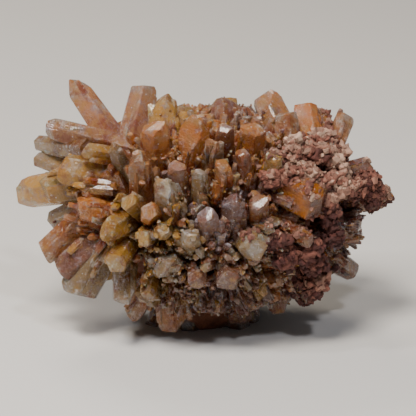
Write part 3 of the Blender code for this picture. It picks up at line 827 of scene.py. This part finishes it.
for fill in FILLS:
    for index, out in even_directions(fill.directions):
        rng = random.Random(fill.name + str(index))
        facing = out.dot(SIGHT)
        reach = rng.uniform(*(fill.rim_reach if abs(facing) < RIM_COSINE else fill.reach))
        tip = CENTRE + Vector([out[i] * HALF_EXTENT[i] for i in range(3)]) * reach
        wanted = fill.facing[0] <= facing <= fill.facing[1]
        if not wanted or any((tip - other.tip).length < fill.spacing for other in taken):
            continue
        lean = any_way(rng) * FILL_LEAN
        if tip.z > LIFTED_ABOVE:
            lean.z += fill.lift
        inward = -((tip - CENTRE).normalized() + lean).normalized()
        root = root_of(tip, inward)
        width = rng.uniform(*fill.width)
        form = rng.choice(FILL_FORMS)
        wide_side = any_way(rng)
        name = fill.name + "_" + str(index)
        finish = finish_at(tip, random.Random(name + " finish"))
        taken.append(Neighbour(tip, (tip - root).normalized(), finish))
        steps = 1 if tip.x < SMOOTH_LEFT else 2
        grow(finish, tip, root, width, form, name, wide_side, steps, steps * 2)
print("crystals with a place:", len(taken))

# %% [markdown]
# Under the ball two rings of stout crystals point down. Their ends are cut off at the floor, and that is
# the flat spot it rests on.

# %% The crystals under it
FOOT_RINGS = ((7.6, 6, 4.0), (4.6, 4, 4.0))
FOOT_DEPTH_SHARE = 0.40
FOOT_TURN = 0.3
FOOT_SINK = 1.2
FOOT_WIDE_SIDE = Vector((1.0, 0.2, 0.0))
FOOT_FINISHES = ("brown", "lilac", "brown")
for ring, (radius, count, width) in enumerate(FOOT_RINGS):
    for index in range(count):
        angle = math.tau * (index + 0.5 * ring) / count + FOOT_TURN
        depth = radius * FOOT_DEPTH_SHARE * math.sin(angle)
        tip = Vector((radius * math.cos(angle), depth, -FOOT_SINK))
        root = root_of(tip, (CENTRE - tip).normalized())
        name = "foot_" + str(ring) + "_" + str(index)
        finish = FOOT_FINISHES[index % len(FOOT_FINISHES)]
        grow(finish, tip, root, width, "blunt", name, FOOT_WIDE_SIDE, steps=0, ribs=2)
print("shapes so far:", sum(len(shapes) for shapes in gathered.values()))

# %% [markdown]
# ## The core, the foot and the rust crust
# Under the crystals lies the dense brown mass that they grew from. It is a lump that reaches as far as the
# solid's core, and a smaller one fills the middle of the foot.

# %% The core and the foot
UP = Vector((0.0, 0.0, 1.0))
SIDE = Vector((1.0, 0.0, 0.0))
FOOT_RADIUS = Vector((6.0, 4.2, 4.6))
FOOT_MIDDLE = Vector((0.0, 0.0, 2.4))
core = lump_shape(HALF_EXTENT * CORE_SHARE, 100, "core", swell=0.12, knobs=0.9, knob_size=0.9)
foot = lump_shape(FOOT_RADIUS, 40, "foot", swell=0.12, knobs=0.4, knob_size=0.9)
for number, (lump, middle) in enumerate(((core, CENTRE), (foot, FOOT_MIDDLE)), start=1):
    lump = placed(lump, middle, UP, SIDE, ONE_TO_ONE, random.Random(number))
    gather("stained_core", lump, 0.5)
print("the core has", len(core.faces), "triangles, the foot", len(foot.faces))

# %% [markdown]
# On the right a knobbly crust of iron oxide covers the crystals. Each knob is a big nodule with smaller
# ones around it and crumbs all over them. Its place is written down, because the solid has it too.

# %% The crust
CRUST_KNOBS = [
    (13.4, 26.4), (15.2, 25.7), (17.0, 27.0), (18.0, 26.9), (16.4, 24.7), (20.0, 25.2),
    (19.1, 24.2), (12.8, 25.0), (19.7, 22.1), (20.4, 19.8), (22.1, 20.0), (24.0, 20.7),
    (25.1, 19.2), (18.3, 17.9), (18.5, 16.4), (15.2, 22.0), (17.1, 21.0), (11.4, 22.0),
    (13.4, 22.3), (9.9, 21.4), (18.6, 13.1), (16.2, 11.6), (16.2, 9.3),
    (14.7, 10.5), (10.9, 12.6), (9.3, 12.6), (12.2, 10.2), (17.1, 6.3), (16.2, 5.7),
]
CRUST_RADIUS = (1.15, 1.9)
CRUST_DEPTH_SHARE = 0.93
MIDDLE_SHARE = 0.85
LUMPS_PER_KNOB = 5
LUMP_SIZE = (0.7, 1.3)
LUMP_TURN, LUMP_SUNK = 0.8, 0.6
CRUMBS_PER_KNOB = 90
CRUMB_SIZE = (0.18, 0.62)
CRUMB_SMALLER = (0.5, 1.0)
CRUMB_TURN = 0.5
CRUMB_HEIGHT = (0.8, 1.15)
for index, (across, up) in enumerate(CRUST_KNOBS):
    radius = random.Random("knob_" + str(index)).uniform(*CRUST_RADIUS)
    depth = near_surface_depth(across, up) * CRUST_DEPTH_SHARE + radius
    middle = seen_place(across, up, depth)
    rng = random.Random("nodules_" + str(index))
    grain("rust_crust", middle, radius * MIDDLE_SHARE, nodules, rng, 0.0)
    for _, out in even_directions(LUMPS_PER_KNOB):
        out = (out + any_way(rng) * LUMP_TURN).normalized()
        size = rng.uniform(*LUMP_SIZE)
        grain("rust_crust", middle + out * (radius - size * LUMP_SUNK), size, nodules, rng, out.z)
    for _, out in even_directions(CRUMBS_PER_KNOB):
        out = (out + any_way(rng) * CRUMB_TURN).normalized()
        size = rng.uniform(*CRUMB_SIZE) * rng.uniform(*CRUMB_SMALLER)
        place = middle + out * (radius * rng.uniform(*CRUMB_HEIGHT))
        grain("rust_crumbs", place, size, crumbs, rng, out.z)
print("crust knobs:", len(CRUST_KNOBS))

# %% [markdown]
# ## The fine druse
# Between the stout crystals sit small ones, in three sizes down to a sugar. To grow them only where they
# can be seen, rays are shot at the ball from all around, and a small crystal grows where a ray lands. The
# larger ones stand parallel to the nearest stout crystal, the smallest straight out of the face below.

# %% Where rays land
RAY_START = 60.0
ABOVE_FLOOR = 0.6
AIM_SPREAD = 0.45


def solid_tree():
    """A search tree over all the shapes so far."""
    points, faces, start = [], [], 0
    for shapes in gathered.values():
        for shape, _ in shapes:
            points.append(shape.points)
            faces.append(shape.faces + start)
            start += len(shape.points)
    return BVHTree.FromPolygons(np.concatenate(points).tolist(), np.concatenate(faces).tolist())


def landings(tree, count, jitter, seed):
    """Places and face directions where rays from all around land on the ball."""
    for index, out in even_directions(count):
        rng = random.Random(seed + str(index))
        start = CENTRE + out * RAY_START
        aim = CENTRE + Vector([rng.uniform(-1, 1) * HALF_EXTENT[i] * jitter for i in range(3)])
        place, normal, _, _ = tree.ray_cast(start, (aim - start).normalized())
        if place is not None and place.z > ABOVE_FLOOR:
            yield place, normal, rng


print("of 200 rays land:", len(list(landings(solid_tree(), 200, AIM_SPREAD, "test"))))

# %% [markdown]
# The druse keeps off the smooth crystals on the left and off the underside. On the top it stays lower, so
# that the stout crystals stand clear. The sugar grows in patches.

# %% The druse
Druse = namedtuple("Druse", "name rays highest highest_tip width length lean outward")
DRUSES = [
    Druse("coarse", 3000, 0.80, 0.92, (1.1, 2.3), (3.4, 5.8), 0.18, 0.0),
    Druse("fine", 3000, 0.85, 0.93, (0.5, 1.2), (1.5, 3.2), 0.35, 0.4),
    Druse("sugar", 4000, 0.92, 1.00, (0.25, 0.55), (0.5, 1.1), 0.60, 1.0),
]
BARE_LEFT = -8.0
BARE_BELOW = 6.0
BARE_SHARE = 0.85
SUGAR_PATCH = 3.0
SUGAR_GAPS = (-0.5, 0.5)
STRAY_SHARE = 0.35
SUGAR_FINISHES = ("pale", "pale", "lilac", "honey")
TOP_DIP = 0.10
DIP_FROM, DIP_RISE = 24.0, 8.0
STANDING_OUT = (0.45, 0.75)
for druse in DRUSES:
    tree = solid_tree()
    for place, normal, rng in landings(tree, druse.rays, AIM_SPREAD, druse.name):
        smooth_part = place.x < BARE_LEFT or (place.z < BARE_BELOW and druse.name == "coarse")
        bare = smooth_part and rng.random() < BARE_SHARE
        if bare or share_of(place, HALF_EXTENT) > druse.highest:
            continue
        patch = smooth_noise(np.array([place]) / SUGAR_PATCH, 31)[0]
        if druse.name == "sugar" and patch < rng.uniform(*SUGAR_GAPS):
            continue
        nearest = min(taken, key=lambda one: (one.tip - place).length_squared)
        lean = any_way(rng) * druse.lean
        axis = (nearest.axis + normal * druse.outward + lean).normalized()
        width = rng.uniform(*druse.width)
        length = rng.uniform(*druse.length)
        tip = place + axis * length * rng.uniform(*STANDING_OUT)
        dip = TOP_DIP * clamped((tip.z - DIP_FROM) / DIP_RISE)
        if share_of(tip, HALF_EXTENT) > druse.highest_tip - dip:
            continue
        finish = nearest.finish
        if rng.random() < STRAY_SHARE:
            finish = rng.choice(SUGAR_FINISHES) if druse.name == "sugar" else finish_at(place, rng)
        if finish in ("rust", "window"):
            finish = "brown"
        small_crystal(finish + "_druse", tip, axis, width, length, toned(tip, rng), rng)
print("druse crystals:", sum(len(s) for name, s in gathered.items() if name.endswith("druse")))

# %% [markdown]
# Rust settles in patches: thick on the right, in the hollows everywhere, and as a few loose grains on
# the crystals' faces. The three causes add up to the chance that a ray leaves a grain.

# %% Rust grains
RUST_RAYS = 5200
PATCH_SIZE = 5.0
RIGHT_FROM, RIGHT_RISE = 6.0, 12.0
HOLLOW_SHARE = 0.80
BY_PATCH, BY_HOLLOW, LEFT_BARE = 0.9, 1.8, 0.65
GRAIN_SIZE = (0.16, 0.34)
LARGER_RIGHT = 0.7
GRAIN_LIFT = 0.2
WIDE_SPREAD = 0.55
tree = solid_tree()
for place, normal, rng in landings(tree, RUST_RAYS, WIDE_SPREAD, "rust"):
    share = share_of(place, HALF_EXTENT)
    patch = smooth_noise(np.array([place]) / PATCH_SIZE + 70.0, 9)[0]
    side = clamped((place.x - RIGHT_FROM) / RIGHT_RISE)
    amount = patch * BY_PATCH + side + (HOLLOW_SHARE - share) * BY_HOLLOW - LEFT_BARE
    if rng.random() > amount:
        continue
    size = rng.uniform(*GRAIN_SIZE) * (1.0 + LARGER_RIGHT * side)
    grain("rust_grains", place + normal * size * GRAIN_LIFT, size, crumbs, rng, normal.z)
print("rust grains:", len(gathered["rust_grains"]))

# %% [markdown]
# ## From shapes to pieces
# Each finish is joined into one mesh. Four values go with its points, for the materials to read: the
# tone of the crystal, partly chance and partly painted light and shade, how far along it the point is,
# how far the point is from an edge in millimetres, and its place in the crystal's own directions, so
# that ridges and veils run along each crystal.

# %% Joining the shapes
def joined_mesh(name, shapes):
    """One mesh in metres from shapes in mm, with its values for the materials."""
    counts = [len(shape.points) for shape, _ in shapes]
    offsets = np.concatenate(([0], np.cumsum(counts)[:-1]))
    points = np.concatenate([shape.points for shape, _ in shapes])
    faces = np.concatenate([shape.faces + offset for (shape, _), offset in zip(shapes, offsets)])
    mesh = bpy.data.meshes.new(name)
    mesh.vertices.add(len(points))
    mesh.vertices.foreach_set("co", (points * MM).astype(np.float32).ravel())
    mesh.loops.add(faces.size)
    mesh.loops.foreach_set("vertex_index", faces.astype(np.int32).ravel())
    mesh.polygons.add(len(faces))
    mesh.polygons.foreach_set("loop_start", np.arange(0, faces.size, 3, dtype=np.int32))
    mesh.update(calc_edges=True)
    values = {
        "tone": np.concatenate([np.full(n, tone) for n, (_, tone) in zip(counts, shapes)]),
        "reach": np.concatenate([shape.reach for shape, _ in shapes]),
        "inner": np.concatenate([shape.inner for shape, _ in shapes]),
    }
    for key, value in values.items():
        layer = mesh.attributes.new(key, "FLOAT", "POINT")
        layer.data.foreach_set("value", value.astype(np.float32))
    layer = mesh.attributes.new("grain", "FLOAT_VECTOR", "POINT")
    own_places = np.concatenate([shape.grain for shape, _ in shapes])
    layer.data.foreach_set("vector", own_places.astype(np.float32).ravel())
    return mesh


print("shapes to join:", sum(len(shapes) for shapes in gathered.values()))

# %% [markdown]
# ## Materials
# Creedite is a calcium aluminium sulfate: glassy, IOR 1.46 to 1.48, and soft, so its faces are a little
# frosted. Iron between and inside the crystals gives the amber. Three things make it read as that: part
# of the light passes through and is dimmed on the way, part is scattered by milky veils inside, and the
# surface has fine ridges along the prism and small pits that sparkle. All pattern sizes are in mm. Real
# ridges and pits are under 0.1 mm. They are drawn some three times coarser here, or they wouldn't show.

# %% The creedite family
CREEDITE_IOR = 1.46
RIDGE_SPACING = 0.35
PIT_SPACING = 0.30
VEIL_SIZE = 2.2
STAIN_SIZE = 2.4
BLUSH_SIZE = 1.3
CRACK_SPACING = 3.2
PAINTED_GLINT_SPACING = 0.8
SPECKLES_PER_MM = 1.4

# Per look: deep is the root colour, partly iron and partly painted shade; glow is the body colour,
# lightened as a painted glow of light through it.
Creedite = namedtuple("Creedite", "deep glow tip frost absorbed density clear rough")
CREEDITES = {
    "honey": Creedite("8A5018", "C8943E", "BC9C66", "DCD0BC", "F4D890", 60.0, 0.46, (0.03, 0.20)),
    "amber": Creedite("964010", "C67C38", "BC8E60", "DCC6B4", "F4A850", 70.0, 0.46, (0.03, 0.20)),
    "gold": Creedite("7A4A12", "B88A3C", "B89A6A", "DCD6C0", "F4DC88", 60.0, 0.46, (0.03, 0.18)),
    "peach": Creedite("8A4420", "B07848", "A4886A", "CCC0B6", "F4C088", 60.0, 0.46, (0.05, 0.24)),
    "brown": Creedite("6A2C12", "925834", "9C7864", "BCA698", "D08850", 70.0, 0.44, (0.04, 0.22)),
    "pale": Creedite("8A5C30", "B09064", "BCAE9A", "E0DCDC", "F0E0C0", 40.0, 0.52, (0.03, 0.20)),
    "lilac": Creedite("703E2C", "946C5C", "A08C8C", "CCC2CA", "E0C8CC", 50.0, 0.52, (0.03, 0.20)),
    "window": Creedite("6A2A08", "BC7010", "7C4A20", "98765C", "F0A030", 90.0, 0.60, (0.03, 0.14)),
}
STAIN = colour("88421E")
GOLD = colour("BE8C3C")
# Lilac-grey mist: partly the crystal's own milky tint, partly a painted cool reflection.
MIST_AND_REFLECTION = colour("A08E92")
# Painted glints: near-white specks standing in for sparkle of light on tiny facets.
PAINTED_GLINT = colour("ECE6E0")
print("looks of creedite:", ", ".join(CREEDITES))

# %% [markdown]
# From the root to the tip the colour goes from deep to glowing to pale: the deep root is partly iron
# and partly painted shade, and the glow is a painted glow of light through the body. Over that lie
# blotches of gold and of lilac-grey mist, which is partly a painted cool reflection, rust stains, frost
# on the worn edges, thin healed cracks and a few bright flecks that are painted glints: each layer is a
# mask and its colour. The relief breaks up the highlights, and a clear gloss over it, with only a trace
# of the relief, keeps some glints sharp.

# %% A cloudy crystal
SCATTER_RADIUS = (1.0, 0.62, 0.36)
SCATTER_MM = 0.5
RELIEF_MM, FAINT_RELIEF_MM = 0.12, 0.05


def creedite_material(name, look):
    """Cloudy see-through creedite in one of its colours."""
    material, tree, output = new_material(name)
    tone, reach, inner = (add(tree, "Attribute", attribute_name=key).outputs["Fac"]
                          for key in ("tone", "reach", "inner"))
    grain = add(tree, "Attribute", attribute_name="grain").outputs["Vector"]
    veil = add(tree, "TexNoise", {"Vector": grain, "Scale": 1.0 / VEIL_SIZE, "Detail": 4.0})
    ridge_place = add(tree, "Mapping", {"Vector": grain, "Scale": (1.0, 1.0, 0.08)})
    ridges = add(tree, "TexNoise", {"Vector": ridge_place.outputs[0], "Scale": 1.0 / RIDGE_SPACING,
                                    "Detail": 3.0})
    pits = add(tree, "TexVoronoi", {"Vector": grain, "Scale": 1.0 / PIT_SPACING})
    speckle = add(tree, "TexNoise", {"Vector": grain, "Scale": SPECKLES_PER_MM, "Detail": 7.0,
                                     "Roughness": 0.75})
    stain = add(tree, "TexNoise", {"Vector": grain, "Scale": 1.0 / STAIN_SIZE, "Detail": 7.0,
                                   "Roughness": 0.7})
    blush = add(tree, "TexNoise", {"Vector": grain, "Scale": 1.0 / BLUSH_SIZE, "Detail": 6.0,
                                   "Roughness": 0.6, "Distortion": 0.4})

    # Painted shade and glow: a root darkened as shade, a body lightened as glow, then the pale tip.
    cloud = add(tree, "MapRange", {"Value": veil.outputs["Fac"], 1: 0.3, 2: 0.7, 3: -0.36, 4: 0.30})
    along = add(tree, "Math", {0: reach, 1: cloud.outputs[0]}, operation="ADD")
    lower = add(tree, "MapRange", {"Value": along.outputs[0], 1: 0.30, 2: 0.62})
    upper = add(tree, "MapRange", {"Value": along.outputs[0], 1: 0.80, 2: 1.16})
    shaded_root_to_glow = add(tree, "Mix", {0: lower.outputs[0], 6: colour(look.deep), 7: colour(look.glow)},
                  data_type="RGBA")
    body = add(tree, "Mix", {0: upper.outputs[0], 6: shaded_root_to_glow.outputs[2], 7: colour(look.tip)},
               data_type="RGBA")
    # The tone lightens or darkens the whole crystal: partly by chance, partly as painted shade low down.
    shade = add(tree, "MapRange", {"Value": tone, 3: 0.46, 4: 1.22})
    shaded = add(tree, "HueSaturation", {"Value": shade.outputs[0], "Color": body.outputs[2]})
    golden = add(tree, "MapRange", {"Value": blush.outputs["Fac"], 1: 0.54, 2: 0.66, 4: 0.55})
    misty_and_reflected = add(tree, "MapRange", {"Value": blush.outputs["Fac"], 1: 0.46, 2: 0.36, 4: 0.5})
    stained = add(tree, "MapRange", {"Value": stain.outputs["Fac"], 1: 0.52, 2: 0.64, 4: 0.75})
    edge = add(tree, "MapRange", {"Value": inner, 1: 0.0, 2: 0.3, 3: 0.16, 4: 0.0})
    patchy = add(tree, "MapRange", {"Value": veil.outputs["Fac"], 1: 0.42, 2: 0.62})
    worn_edge = add(tree, "Math", {0: edge.outputs[0], 1: patchy.outputs[0]}, operation="MULTIPLY")
    frosting = add(tree, "Math", {0: speckle.outputs["Fac"], 1: worn_edge.outputs[0]}, operation="ADD")
    frosted = add(tree, "MapRange", {"Value": frosting.outputs[0], 1: 0.57, 2: 0.72, 4: 0.6})
    crack_place = add(tree, "TexNoise", {"Vector": grain, "Scale": 1.0 / CRACK_SPACING, "Detail": 0.0})
    crack_side = add(tree, "Math", {0: crack_place.outputs["Fac"], 1: 0.5}, operation="SUBTRACT")
    crack_away = add(tree, "Math", {0: crack_side.outputs[0]}, operation="ABSOLUTE")
    crack = add(tree, "MapRange", {"Value": crack_away.outputs[0], 1: 0.0, 2: 0.010, 3: 0.22, 4: 0.0})
    # Painted glints: a few small bright spots on the faces, in place of sparkles of light.
    painted_glint_cell = add(tree, "TexVoronoi", {"Vector": grain, "Scale": 1.0 / PAINTED_GLINT_SPACING})
    painted_glint_near = add(tree, "MapRange", {"Value": painted_glint_cell.outputs["Distance"], 1: 0.18, 2: 0.06})
    painted_glint_kept = add(tree, "MapRange", {"Value": painted_glint_cell.outputs["Color"], 1: 0.66, 2: 0.70})
    painted_glints = add(tree, "Math", {0: painted_glint_near.outputs[0], 1: painted_glint_kept.outputs[0]}, operation="MULTIPLY")

    frost = colour(look.frost)
    surface = shaded.outputs[0]
    # Layers from the bottom up: gold, lilac-grey mist that is partly painted reflection, rust stains,
    # frost, healed cracks, painted glints.
    for mask, its_colour in ((golden, GOLD), (misty_and_reflected, MIST_AND_REFLECTION), (stained, STAIN), (frosted, frost),
                             (crack, frost), (painted_glints, PAINTED_GLINT)):
        layer = add(tree, "Mix", {0: mask.outputs[0], 6: surface, 7: its_colour}, data_type="RGBA")
        surface = layer.outputs[2]

    rough = add(tree, "MapRange", {"Value": frosting.outputs[0], 1: 0.4, 2: 0.75,
                                   3: look.rough[0], 4: look.rough[1]})
    fine_relief = add(tree, "Math", {0: ridges.outputs["Fac"], 1: pits.outputs["Distance"]},
                      operation="ADD")
    relief = add(tree, "Math", {0: speckle.outputs["Fac"], 1: 2.0, 2: fine_relief.outputs[0]},
                 operation="MULTIPLY_ADD")
    bump = add(tree, "Bump", {"Height": relief.outputs[0], "Strength": 1.0,
                              "Distance": RELIEF_MM * MM})
    faint_bump = add(tree, "Bump", {"Height": relief.outputs[0], "Strength": 0.25,
                                    "Distance": FAINT_RELIEF_MM * MM})
    shader = add(tree, "BsdfPrincipled", {
        "Base Color": surface, "Roughness": rough.outputs[0],
        "Normal": bump.outputs[0], "IOR": CREEDITE_IOR, "Transmission Weight": look.clear,
        "Subsurface Weight": 0.8, "Subsurface Radius": SCATTER_RADIUS, "Subsurface Scale": SCATTER_MM * MM,
        "Coat Weight": 0.5, "Coat Roughness": 0.06, "Coat Normal": faint_bump.outputs[0],
    })
    absorption = add(tree, "VolumeAbsorption", {"Color": colour(look.absorbed),
                                                "Density": look.density})
    tree.links.new(shader.outputs[0], output.inputs["Surface"])
    tree.links.new(absorption.outputs[0], output.inputs["Volume"])
    return material


print("relief in mm:", RELIEF_MM, "and in the gloss:", FAINT_RELIEF_MM)

# %% [markdown]
# The crust is earthy iron oxide: matt and powdery, rust-brown to pinkish cream in patches. Its dark and
# light colours also stand for painted shade and painted light, by how high and how upwards each grain
# sits, and every lump is painted darker in its own hollows. The core is the same stuff, dark and
# stained, packed between the crystals' roots. Its powder is drawn coarser than the real one, whose
# grains are too fine to see.

# %% Crust and core
POWDER_PER_MM, GRIT_PER_MM = 2.4, 6.0
POWDER_RELIEF_MM = 0.2


def earthy_material(name, dark_and_shaded, middle, knob, roughness):
    """Powdery iron oxide in three tones, painted darker in its own hollows as shade."""
    material, tree, output = new_material(name)
    reach, tone = (add(tree, "Attribute", attribute_name=key).outputs["Fac"]
                   for key in ("reach", "tone"))
    grain = add(tree, "Attribute", attribute_name="grain").outputs["Vector"]
    powder = add(tree, "TexNoise", {"Vector": grain, "Scale": POWDER_PER_MM, "Detail": 8.0,
                                    "Roughness": 0.7})
    grit = add(tree, "TexNoise", {"Vector": grain, "Scale": GRIT_PER_MM, "Detail": 4.0})
    mixed = add(tree, "Math", {0: powder.outputs["Fac"], 1: reach}, operation="ADD")
    # The tone picks the dark, middle or light colour; on the crust that tone is partly painted light and
    # shade.
    lower = add(tree, "MapRange", {"Value": tone, 1: 0.0, 2: 0.5})
    upper = add(tree, "MapRange", {"Value": tone, 1: 0.5, 2: 1.0})
    under = add(tree, "Mix", {0: lower.outputs[0], 6: colour(dark_and_shaded), 7: colour(middle)},
                data_type="RGBA")
    whole = add(tree, "Mix", {0: upper.outputs[0], 6: under.outputs[2], 7: colour(knob)},
                data_type="RGBA")
    # Painted shade: the lower a point lies on its own lump or crumb, in its hollows, the darker it is.
    shade = add(tree, "MapRange", {"Value": mixed.outputs[0], 1: 0.7, 2: 1.3, 3: 0.62, 4: 1.15})
    base = add(tree, "HueSaturation", {"Value": shade.outputs[0], "Color": whole.outputs[2]})
    height = add(tree, "Math", {0: powder.outputs["Fac"], 1: grit.outputs["Fac"]}, operation="ADD")
    bump = add(tree, "Bump", {"Height": height.outputs[0], "Strength": 0.8,
                              "Distance": POWDER_RELIEF_MM * MM})
    shader = add(tree, "BsdfPrincipled", {
        "Base Color": base.outputs[0], "Roughness": roughness, "Normal": bump.outputs[0],
    })
    tree.links.new(shader.outputs[0], output.inputs["Surface"])
    return material


materials = {name: creedite_material(name + "_creedite", look) for name, look in CREEDITES.items()}
# The crust's dark and light colours are its mottling and also painted shade and painted light.
materials["rust"] = earthy_material("iron_oxide_crust", "542A24", "905A48", "C6A48C", 0.8)
materials["stained"] = earthy_material("stained_core", "4A2014", "74422A", "9C6A44", 0.85)
print("materials:", sorted(materials))

# %% [markdown]
# Each finish becomes one piece of mesh, with flat faces where it is crystal or angular grains, and
# smooth ones where it is earthy. The crystals of a finish take its colour by the first word of the name.

# %% The pieces
for name in sorted(gathered):
    mesh = joined_mesh(name, gathered[name])
    finish = name.split("_")[0]
    mesh.materials.append(materials[finish])
    if name in ("rust_crust", "stained_core"):
        mesh.shade_smooth()
    else:
        mesh.shade_flat()
    piece = bpy.data.objects.new(name, mesh)
    bpy.context.scene.collection.objects.link(piece)
    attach(piece, "root")
    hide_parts(CLUSTER)
    print(name, len(mesh.polygons), "triangles")

# %% [markdown]
# ## Sizes
# The dressed ball should keep the solid's size, so both boxes are gathered side by side and the
# dressed one is printed.

# %% Finish
visual_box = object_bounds()
boxes = {"cad": cad_box, "visual": visual_box}
{key: [list(corner) for corner in box] for key, box in boxes.items()}
print("the dressed box in mm:", [[round(v / MM, 1) for v in corner] for corner in visual_box])
